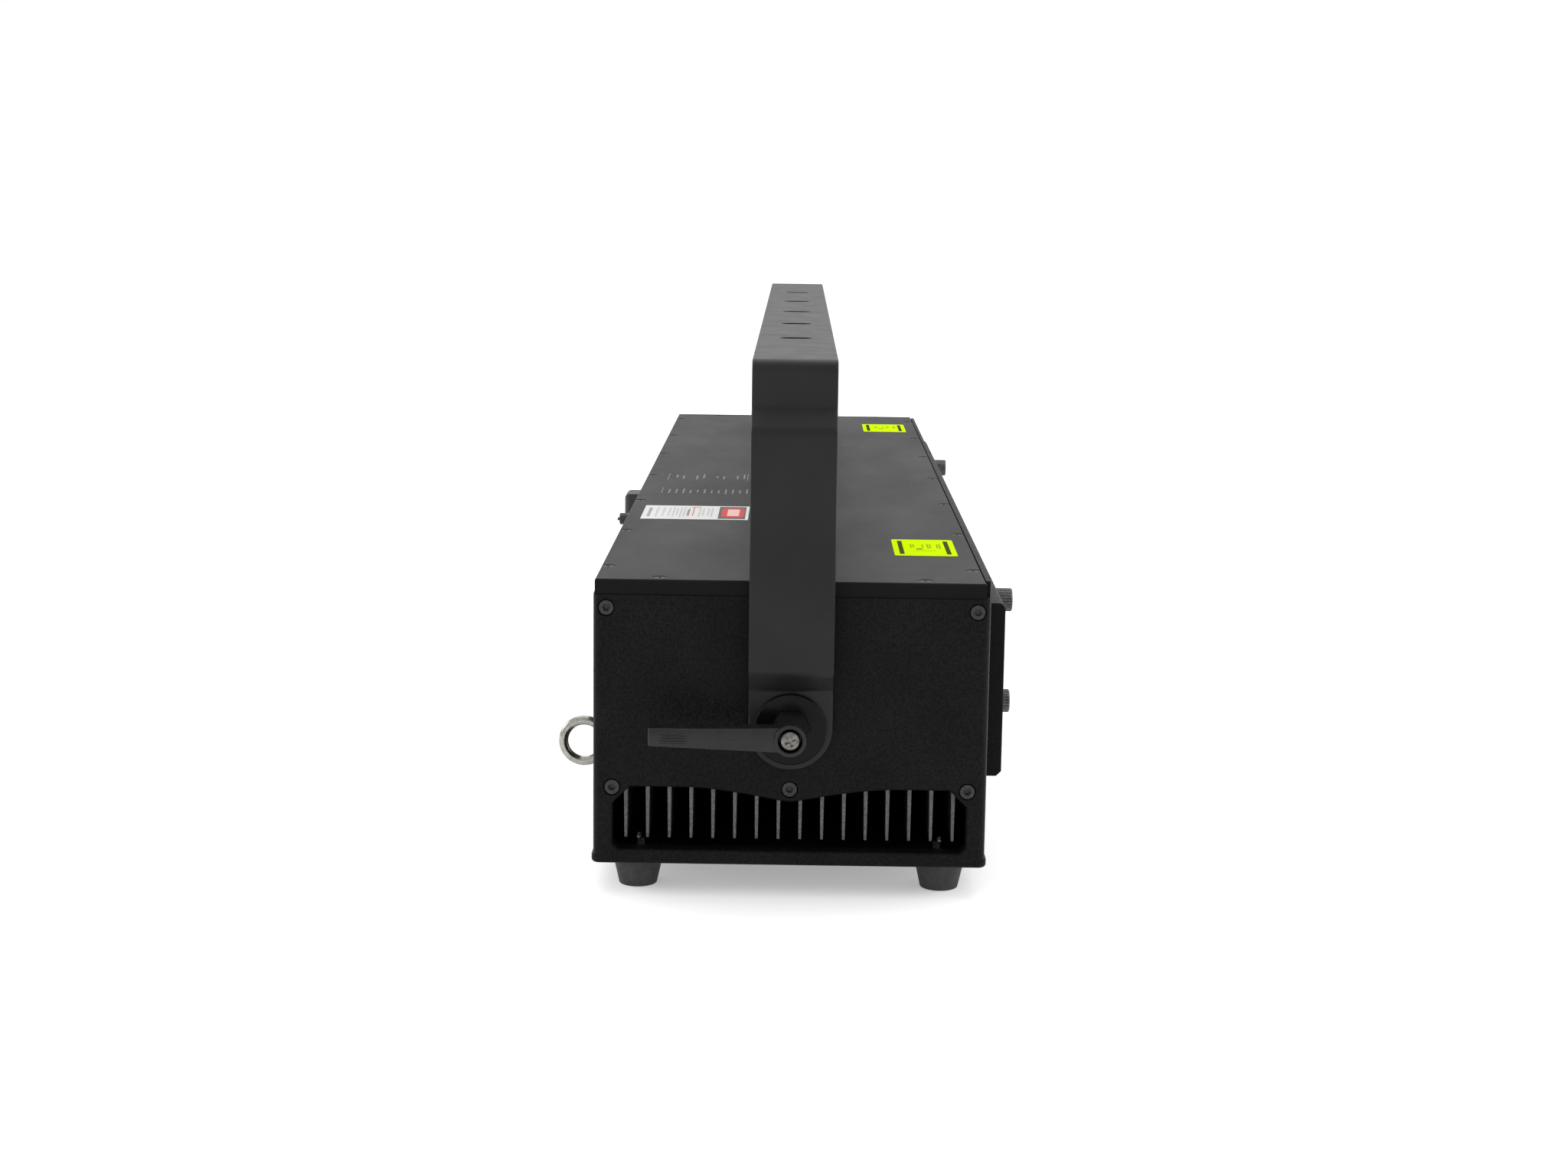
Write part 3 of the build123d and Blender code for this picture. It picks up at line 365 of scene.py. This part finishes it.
def mirror_coat():
    paint = Paint("mirror_coat", (0.8, 0.78, 0.86), 0.03, metallic=1.0)
    paint.colour(paint.ramp(paint.noise(0.008, 2.0), (0.3, (0.86, 0.76, 0.8)), (0.7, (0.74, 0.8, 0.92))))
    paint.roughness(paint.ramp(paint.noise(0.003, 3.0), (0.4, 0.02), (0.8, 0.08)))
    return paint.material


BOARD_RISE = 9.9 * MM           # from a board's feet to just over its top face


def circuit_board():
    """Green board at the bottom, and dark parts above it."""
    paint = Paint("circuit_board", (0.02, 0.14, 0.05), 0.4)
    tracks = paint.noise(0.002, 2.0, 0.5, (0.3, 1.0, 1.0))
    board = paint.ramp(tracks, (0.45, (0.012, 0.10, 0.035)), (0.55, (0.03, 0.19, 0.07)))
    parts = paint.ramp(paint.cells(0.004), (0.3, grey(0.02)), (0.8, grey(0.06)))
    board_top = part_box("control_board")[0].z + BOARD_RISE
    paint.colour(paint.mix(paint.above(board_top), board, parts))
    paint.roughness(paint.ramp(tracks, (0.4, 0.3), (0.6, 0.5)))
    return paint.material


def sticker(name, colour, roughness):
    """Matt printed vinyl: near even colour and slight fading."""
    paint = Paint(name, colour, roughness, specular=0.0)
    faded = tuple(min(1.0, c * 0.93 + 0.012) for c in colour)
    paint.colour(paint.ramp(paint.noise(0.018, 4.0, 0.6), (0.35, colour), (0.75, faded)))
    grain = paint.noise(0.004, 3.0)
    paint.roughness(paint.ramp(grain, (0.3, roughness - 0.06), (0.7, roughness + 0.08)))
    paint.bump(paint.noise(0.009, 2.0), 0.00003)
    return paint.material


def print_ink(name, colour):
    paint = Paint(name, colour, 0.6, specular=0.0)
    lighter = tuple(min(1.0, c * 1.25 + 0.005) for c in colour)
    paint.colour(paint.ramp(paint.noise(0.0015, 3.0, 0.7), (0.35, colour), (0.8, lighter)))
    return paint.material


def studio_paint():
    paint = Paint("studio_paint", grey(0.82), 0.85, specular=0.0, Emission_Strength=0.35)
    paint.shader.inputs["Emission Color"].default_value = (1.0, 1.0, 1.0, 1.0)
    paint.colour(paint.ramp(paint.noise(0.9, 2.0), (0.3, grey(0.815)), (0.7, grey(0.825))))
    return paint.material


SLOT_MATERIALS = {
    "powder_coat": powder("powder_coat", 0.0042, 0.46, 0.07, 0.0012, 0.00012),
    "cover_coat": cover_coat(),
    "yoke_paint": yoke_paint(),
    "lever_enamel": lever_enamel(),
    "disc_plastic": disc_plastic(),
    "black_screws": oxide_screw(),
    "zinc_steel": zinc_steel("zinc_steel", 0.22, 0.42),
    "black_aluminium": black_aluminium(),
    "foot_rubber": foot_rubber(),
    "bush_brass": bush_brass(),
    "socket_plastic": moulded("socket_plastic", grey(0.018), 0.46),
    "rocker_red": moulded("rocker_red", (0.42, 0.018, 0.015), 0.24, Coat_Weight=0.4),
    "lock_chrome": lock_chrome(),
    "bare_aluminium": bare_aluminium(),
    "window_glass": window_glass(),
    "mirror_coat": mirror_coat(),
    "circuit_board": circuit_board(),
    "caution_sticker": sticker("caution_sticker", (0.52, 0.74, 0.0), 0.62),
    "data_sticker": sticker("data_sticker", grey(0.60, (1, 1, 0.99)), 0.6),
}
# The lever screws get a darker copy of the zinc steel than the eyebolt: painted shade of the deep recess
# in each lever's hub.
NODE_MATERIALS = dict.fromkeys(
    ("lever_screw_left", "lever_screw_right"), zinc_steel("recessed_screw_steel_painted_shade", 0.07, 0.2)
)


def dress_cad_nodes():
    """Each CAD node shows its own or its slot's material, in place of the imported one."""
    for part in frame["record"]["subparts"]:
        node = frame["nodes"][part["node"]]
        slot_material = SLOT_MATERIALS[part["material_slot"]]
        node.data.materials.clear()
        node.data.materials.append(NODE_MATERIALS.get(part["node"], slot_material))


# ---------------------------------------------------------------- mesh helpers
def new_piece(name, mesh, material, body, sharp_degrees=35.0):
    """A finished mesh as a shown piece that rides on a body."""
    bmesh.ops.recalc_face_normals(mesh, faces=mesh.faces)
    data = bpy.data.meshes.new(name)
    mesh.to_mesh(data)
    mesh.free()
    data.materials.append(material)
    data.shade_smooth()
    data.set_sharp_from_angle(angle=math.radians(sharp_degrees))
    piece = bpy.data.objects.new(name, data)
    bpy.context.scene.collection.objects.link(piece)
    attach(piece, body)
    return piece


def skin_rings(mesh, rings):
    """Quads between neighbouring rings of points, with a flat face at each end."""
    rows = [[mesh.verts.new(point) for point in ring] for ring in rings]
    for first, second in zip(rows, rows[1:]):
        for k in range(len(first)):
            n = (k + 1) % len(first)
            mesh.faces.new((first[k], first[n], second[n], second[k]))
    mesh.faces.new(rows[0])
    mesh.faces.new(rows[-1])


def scratch_object(name, rings):
    """A closed solid for a boolean."""
    mesh = bmesh.new()
    skin_rings(mesh, rings)
    bmesh.ops.recalc_face_normals(mesh, faces=mesh.faces)
    data = bpy.data.meshes.new(name)
    mesh.to_mesh(data)
    mesh.free()
    solid = bpy.data.objects.new(name, data)
    bpy.context.scene.collection.objects.link(solid)
    return solid


def combine(base, *steps):
    """Base after each (operation, other) boolean, as a bmesh. The operands are removed."""
    for operation, other in steps:
        modifier = base.modifiers.new(operation, "BOOLEAN")
        modifier.operation = operation
        modifier.solver = "EXACT"
        modifier.object = other
    bpy.context.view_layer.update()
    evaluated = base.evaluated_get(bpy.context.evaluated_depsgraph_get())
    data = bpy.data.meshes.new_from_object(evaluated)
    mesh = bmesh.new()
    mesh.from_mesh(data)
    for solid in (base, *[other for _, other in steps]):
        bpy.data.objects.remove(solid)
    return mesh


def smooth_step(value):
    value = max(0.0, min(1.0, value))
    return value * value * (3 - 2 * value)


def between(start, end, share):
    return start + (end - start) * share


# ---------------------------------------------------------------- clamping levers
# "out" is measured outward from the end plate's face, and "up" from the pivot.
STUD_R = 6.5 * MM
INSERT_BORE_R = 6.55 * MM
INSERT_BORE_END = 26.0 * MM
SCREW_BORE_R = 3.0 * MM
SINK_R = 7.0 * MM               # recess for the screw's head
SINK_FLOOR = 29.0 * MM
SINK_BEVEL = 0.6 * MM
STEP = 0.02 * MM                # keeps a bore's rings apart where its radius jumps
HUB_BASE_OUT = 10.3 * MM
HUB_BASE_R = 12.0 * MM
HUB_BASE_TRIM = 0.94            # of the radius, where the shoulder starts
HUB_TOP_OUT = 40.0 * MM
HUB_TOP_R = 9.2 * MM
HUB_LEVELS = 16
HUB_ROUNDING = ((0.7, 0.0), (0.25, 0.18), (0.0, 0.6))    # (below the top, off the radius), in mm
HUB_POINTS = 72
SHOULDER_ANGLE = math.pi / 3    # one side of the six-sided shoulder
SHOULDER_FLAT = 0.9             # its flats and corners, as shares of the radius
SHOULDER_CORNER = 1.015
GRIP_ROOT = {"y": 3 * MM, "deep": 13.0 * MM, "high": 14.6 * MM, "out": 31.0 * MM, "up": -0.2 * MM}
GRIP_TIP = {"deep": 10.4 * MM, "high": 10.4 * MM, "out": 33.6 * MM, "up": 0.9 * MM}
GRIP_SECTIONS = 110
GRIP_CORNER = 0.9 * MM
GRIP_CROWN = 0.7 * MM
GRIP_WAIST = 0.35 * MM          # dip of the top edge along the grip
GRIP_FACE_ROWS = 72
CORNER_STEPS = 5
LINE_PITCH = 1.55 * MM
LINE_HEIGHT = 0.42 * MM
LINE_WIDTH = 0.26 * MM
LINE_RUN_OUT = 1.5 * MM


def hub_ring(out, hexagon, radius, place):
    """Ring round the pivot: hexagon is 1 for the six-sided shoulder and 0 for a circle."""
    ring = []
    for k in range(HUB_POINTS):
        angle = 2 * math.pi * k / HUB_POINTS
        from_flat = (angle + SHOULDER_ANGLE / 2) % SHOULDER_ANGLE - SHOULDER_ANGLE / 2
        flat = radius * SHOULDER_FLAT / math.cos(from_flat)
        size = between(radius, min(flat, radius * SHOULDER_CORNER), hexagon)
        ring.append(place(out, size * math.sin(angle), size * math.cos(angle)))
    return ring


def hub_solid(place):
    """Six-sided shoulder that turns into a round, slightly tapered top."""
    rings = []
    levels = [(0.0, HUB_BASE_TRIM), (0.02, 1.0)]
    levels += [(i / HUB_LEVELS, 1.0) for i in range(1, HUB_LEVELS)]
    for share, trim in levels:
        taper = smooth_step(share) * 0.45 + share * 0.55
        radius = between(HUB_BASE_R, HUB_TOP_R, taper) * trim
        hexagon = 1 - smooth_step(share * 1.25)
        rings.append(hub_ring(between(HUB_BASE_OUT, HUB_TOP_OUT, share), hexagon, radius, place))
    for below, off in HUB_ROUNDING:
        rings.append(hub_ring(HUB_TOP_OUT - below * MM, 0.0, HUB_TOP_R - off * MM, place))
    return scratch_object("hub", rings)


def bore_solid(place):
    """What is cut out of the hub: the insert's bore, the screw's bore and the head's recess."""
    sink_wide = SINK_R + SINK_BEVEL
    profile = (
        (HUB_BASE_OUT - 1.3 * MM, INSERT_BORE_R), (INSERT_BORE_END, INSERT_BORE_R),
        (INSERT_BORE_END + STEP, SCREW_BORE_R), (SINK_FLOOR - STEP, SCREW_BORE_R),
        (SINK_FLOOR, SINK_R - 0.4 * MM), (SINK_FLOOR + 0.4 * MM, SINK_R),
        (HUB_TOP_OUT - 0.5 * MM, SINK_R), (HUB_TOP_OUT + 0.1 * MM, sink_wide),
        (HUB_TOP_OUT + 2.0 * MM, sink_wide),
    )
    return scratch_object("bore", [hub_ring(out, 0.0, radius, place) for out, radius in profile])


def grip_outline(half_deep, half_high):
    """Points (depth, level) round the bar: its crowned outer face, then its four round corners."""
    flat_deep, flat_high = half_deep - GRIP_CORNER, half_high - GRIP_CORNER
    points = []
    for i in range(GRIP_FACE_ROWS + 1):
        level = between(flat_high, -flat_high, i / GRIP_FACE_ROWS)
        bulge = GRIP_CROWN * (1 - (level / half_high) ** 2) - GRIP_CROWN
        points.append((half_deep + bulge, level))
    edge_drop = GRIP_CROWN * (flat_high / half_high) ** 2
    for turn, (outer, upper) in enumerate(((1, -1), (-1, -1), (-1, 1), (1, 1))):
        drop = edge_drop if outer > 0 else 0.0
        for i in range(1, CORNER_STEPS):
            angle = -math.pi / 2 * (turn + i / CORNER_STEPS)
            points.append((
                outer * flat_deep + GRIP_CORNER * math.cos(angle) - drop,
                upper * flat_high + GRIP_CORNER * math.sin(angle),
            ))
    return points


def line_relief(y, level, lines):
    """How far the grip lines stand out of the outer face here."""
    relief = 0.0
    for line_level, start, end in lines:
        along = smooth_step((y - start) / LINE_RUN_OUT) * smooth_step((end - y) / LINE_RUN_OUT)
        relief += LINE_HEIGHT * along * math.exp(-(((level - line_level) / LINE_WIDTH) ** 2))
    return relief


def grip_ring(y, inset, tip, place, lines):
    """Section of the grip at y, made smaller by inset all round."""
    share = (y - GRIP_ROOT["y"]) / (tip["y"] - GRIP_ROOT["y"])
    deep, high, out, up = [
        between(GRIP_ROOT[k], tip[k], share) for k in ("deep", "high", "out", "up")
    ]
    waist = GRIP_WAIST * math.sin(math.pi * min(1.0, share * 1.05))
    ring = []
    for depth, level in grip_outline(deep / 2 - inset, high / 2 - inset):
        relief = line_relief(y, level, lines) if depth > 0 else 0.0
        ring.append(place(out + depth + relief, y, up + level - waist * (level > 0)))
    return ring


def grip_solid(reach, place):
    """Long tapered bar from inside the hub to y = reach, with a rounded end."""
    tip = {"y": reach, **GRIP_TIP}
    lines = [
        (LINE_PITCH * i, reach - (22.0 + 1.5 * (i % 2)) * MM, reach - (6.5 - 0.8 * (i % 3)) * MM)
        for i in range(-2, 3)
    ]
    rings = []
    for i in range(GRIP_SECTIONS + 1):
        y = between(GRIP_ROOT["y"], reach - GRIP_CORNER, i / GRIP_SECTIONS)
        rings.append(grip_ring(y, 0.0, tip, place, lines))
    for i in range(1, CORNER_STEPS + 1):
        angle = math.pi / 2 * i / CORNER_STEPS
        y = reach - GRIP_CORNER + GRIP_CORNER * math.sin(angle)
        rings.append(grip_ring(y, GRIP_CORNER * (1 - math.cos(angle)), tip, place, lines))
    return scratch_object("grip", rings)


def make_lever(name, side):
    """Cast clamping lever in place of its CAD shape. side is -1 at the left end, 1 at the right."""
    end_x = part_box(f"end_plate_{name}")[0 if side < 0 else 1].x
    pivot_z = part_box(f"lever_stud_{name}")[0].z + STUD_R
    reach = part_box(f"lever_{name}")[1].y

    def place(out, y, up):
        return (end_x + side * out, y, pivot_z + up)

    hub, grip, bore = hub_solid(place), grip_solid(reach, place), bore_solid(place)
    mesh = combine(hub, ("UNION", grip), ("DIFFERENCE", bore))
    slot = "lever_enamel"
    lever = new_piece(
        f"clamp_lever_{name}", mesh, SLOT_MATERIALS[slot], f"handle_{name}", sharp_degrees=40.0
    )
    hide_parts(f"lever_{name}")


# ---------------------------------------------------------------- printed marks
# A mark is (x, y, size in x, size in y), in millimetres. Heights are in metres.
INK_THICK = 0.03 * MM
INK_GAP = 0.04 * MM             # from one layer of ink to the next
PATCH_CORNER_STEPS = 8
CAUTION_LENGTH = 68             # one label's size in x
CAUTION_SEEDS = (3, 4)
CAUTION_BAR = (55.0, 2.9)
CAUTION_BAR_OFFSET = 14.6
# (offset across the label, length) of each column of dashes
CAUTION_COLUMNS = (
    (8.0, 16.0), (6.4, 12.0), (0.6, 12.0), (-2.6, 20.0), (-4.2, 16.0), (-8.6, 18.0), (-10.2, 22.0),
)
# offsets from the data label's front edge
DATA_COLUMNS = (25.5, 28.0, 31.5, 34.0, 41.5, 44.5, 47.0, 49.5, 52.0, 55.0, 59.0, 63.5)
COVER_LINES = 12
COVER_LINE_PITCH = 5.2


def print_marks(name, marks, level, ink):
    """Thin printed bars on the housing, standing on the height level."""
    mesh = bmesh.new()
    for x, y, size_x, size_y in marks:
        scale = Matrix.Diagonal((size_x * MM, size_y * MM, INK_THICK, 1.0))
        place = Matrix.Translation((x * MM, y * MM, level + INK_THICK / 2))
        bmesh.ops.create_cube(mesh, size=1.0, matrix=place @ scale)
    new_piece(name, mesh, ink, "housing")


def rounded_mark(name, mark, radius, level, ink):
    """One printed patch with round corners."""
    x, y, size_x, size_y = mark
    outline = []
    for turn, (sx, sy) in enumerate(((1, 1), (-1, 1), (-1, -1), (1, -1))):
        for i in range(PATCH_CORNER_STEPS + 1):
            angle = math.pi / 2 * (turn + i / PATCH_CORNER_STEPS)
            outline.append((
                (x + sx * (size_x / 2 - radius) + radius * math.cos(angle)) * MM,
                (y + sy * (size_y / 2 - radius) + radius * math.sin(angle)) * MM,
            ))
    mesh = bmesh.new()
    skin_rings(mesh, [[(px, py, z) for px, py in outline] for z in (level, level + INK_THICK)])
    new_piece(name, mesh, ink, "housing")


def dashes(rng, x, y, length, jitter, step, height):
    """A column of short strokes along x, as a stand-in for a line of print."""
    marks = []
    at = x - length / 2
    while at < x + length / 2 - 1.0:
        stroke = rng.uniform(0.35, 1.0) * step
        marks.append((at + stroke / 2, y + rng.uniform(-0.1, 0.1) * jitter, stroke * 0.72, height))
        at += stroke + step * 0.25
    return marks


def caution_marks(name, centre_x, ink, seed):
    """A bar along each long edge, columns of dashes, a line and a block on a yellow label."""
    centre_y = sum(corner.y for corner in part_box("caution_labels")) / 2 / MM
    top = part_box("caution_labels")[1].z
    rng = random.Random(seed)
    marks = [(centre_x, centre_y + side * CAUTION_BAR_OFFSET, *CAUTION_BAR) for side in (-1, 1)]
    for offset, length in CAUTION_COLUMNS:
        marks += dashes(rng, centre_x + 6.0, centre_y + offset, length, 0.8, 2.6, 0.85)
    marks.append((centre_x - 14.0, centre_y - 0.5, 0.7, 13.0))
    marks.append((centre_x - 6.0, centre_y + 3.0, 3.4, 4.2))
    print_marks(name, marks, top, ink)


def print_caution_labels():
    low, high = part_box("caution_labels")
    ink = print_ink("olive_ink", (0.05, 0.065, 0.02))
    centres = {
        "near": round(low.x / MM) + CAUTION_LENGTH / 2,
        "far": round(high.x / MM) - CAUTION_LENGTH / 2,
    }
    for (name, centre_x), seed in zip(centres.items(), CAUTION_SEEDS):
        caution_marks(f"caution_marks_{name}", centre_x, ink, seed)


def print_data_label():
    """Header patch and columns of dashes on the white label."""
    grey_ink, pale_ink = print_ink("grey_ink", grey(0.13)), print_ink("pale_ink", grey(0.36))
    red_ink = print_ink("red_ink", (0.52, 0.09, 0.09))
    pink_ink = print_ink("pink_ink", (0.62, 0.42, 0.38))
    low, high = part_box("data_label")
    top, front = high.z, low.y / MM
    x = (low.x + high.x) / 2 / MM

    print_marks("data_header", [(x, front + 11.4, 61.0, 18.6)], top, grey_ink)
    patch, core = (x, front + 11.0, 46.0, 15.4), (x, front + 10.6, 33.0, 8.2)
    rounded_mark("data_header_patch", patch, 7.6, top + INK_GAP, red_ink)
    rounded_mark("data_header_core", core, 1.2, top + 2 * INK_GAP, pink_ink)

    rng = random.Random(5)
    marks = []
    for offset in DATA_COLUMNS:
        marks += dashes(rng, x + 2.0, front + offset, rng.uniform(30, 52), 0.6, 3.4, 1.25)
    print_marks("data_columns", marks, top, pale_ink)
    title = dashes(rng, x, front + 68.5, 44.0, 0.8, 4.0, 2.2)
    title += dashes(rng, x, front + 41.8, 30.0, 0.8, 3.0, 1.8)
    print_marks("data_title", title, top, grey_ink)
    rule = [(x + 26.0, front + 37.0, 2.4, 6.5), (x + 4.0, front + 38.4, 40.0, 0.7)]
    print_marks("data_rule", rule, top, red_ink)


def print_cover():
    """Faint generic strokes printed on the cover beside the yoke."""
    rng = random.Random(11)
    marks = [(-8.0, 97.0, 44.0, 0.6), (-92.0, 97.5, 30.0, 0.6), (-8.0, 36.0, 44.0, 0.6)]
    for i in range(COVER_LINES):
        y = 92.0 - COVER_LINE_PITCH * i
        marks.append((-96.0 + rng.uniform(-3, 3), y, rng.uniform(14, 30), 1.1))
        if i % 3 != 2:
            marks.append((-8.0 + rng.uniform(-4, 4), y - 1.4, rng.uniform(10, 26), 1.3))
    ink = print_ink("cover_ink", grey(0.20))
    print_marks("cover_print", marks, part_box("top_cover")[1].z, ink)


# ---------------------------------------------------------------- build
make_camera()
make_world()
make_floor()
make_lights()
dress_cad_nodes()
make_lever("left", -1)
make_lever("right", 1)
print_caution_labels()
print_data_label()
print_cover()
bpy.context.scene.view_settings.view_transform = "Standard"

boxes = {"cad": CAD_BOX, "visual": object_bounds()}
{k: [list(c) for c in v] for k, v in boxes.items()}
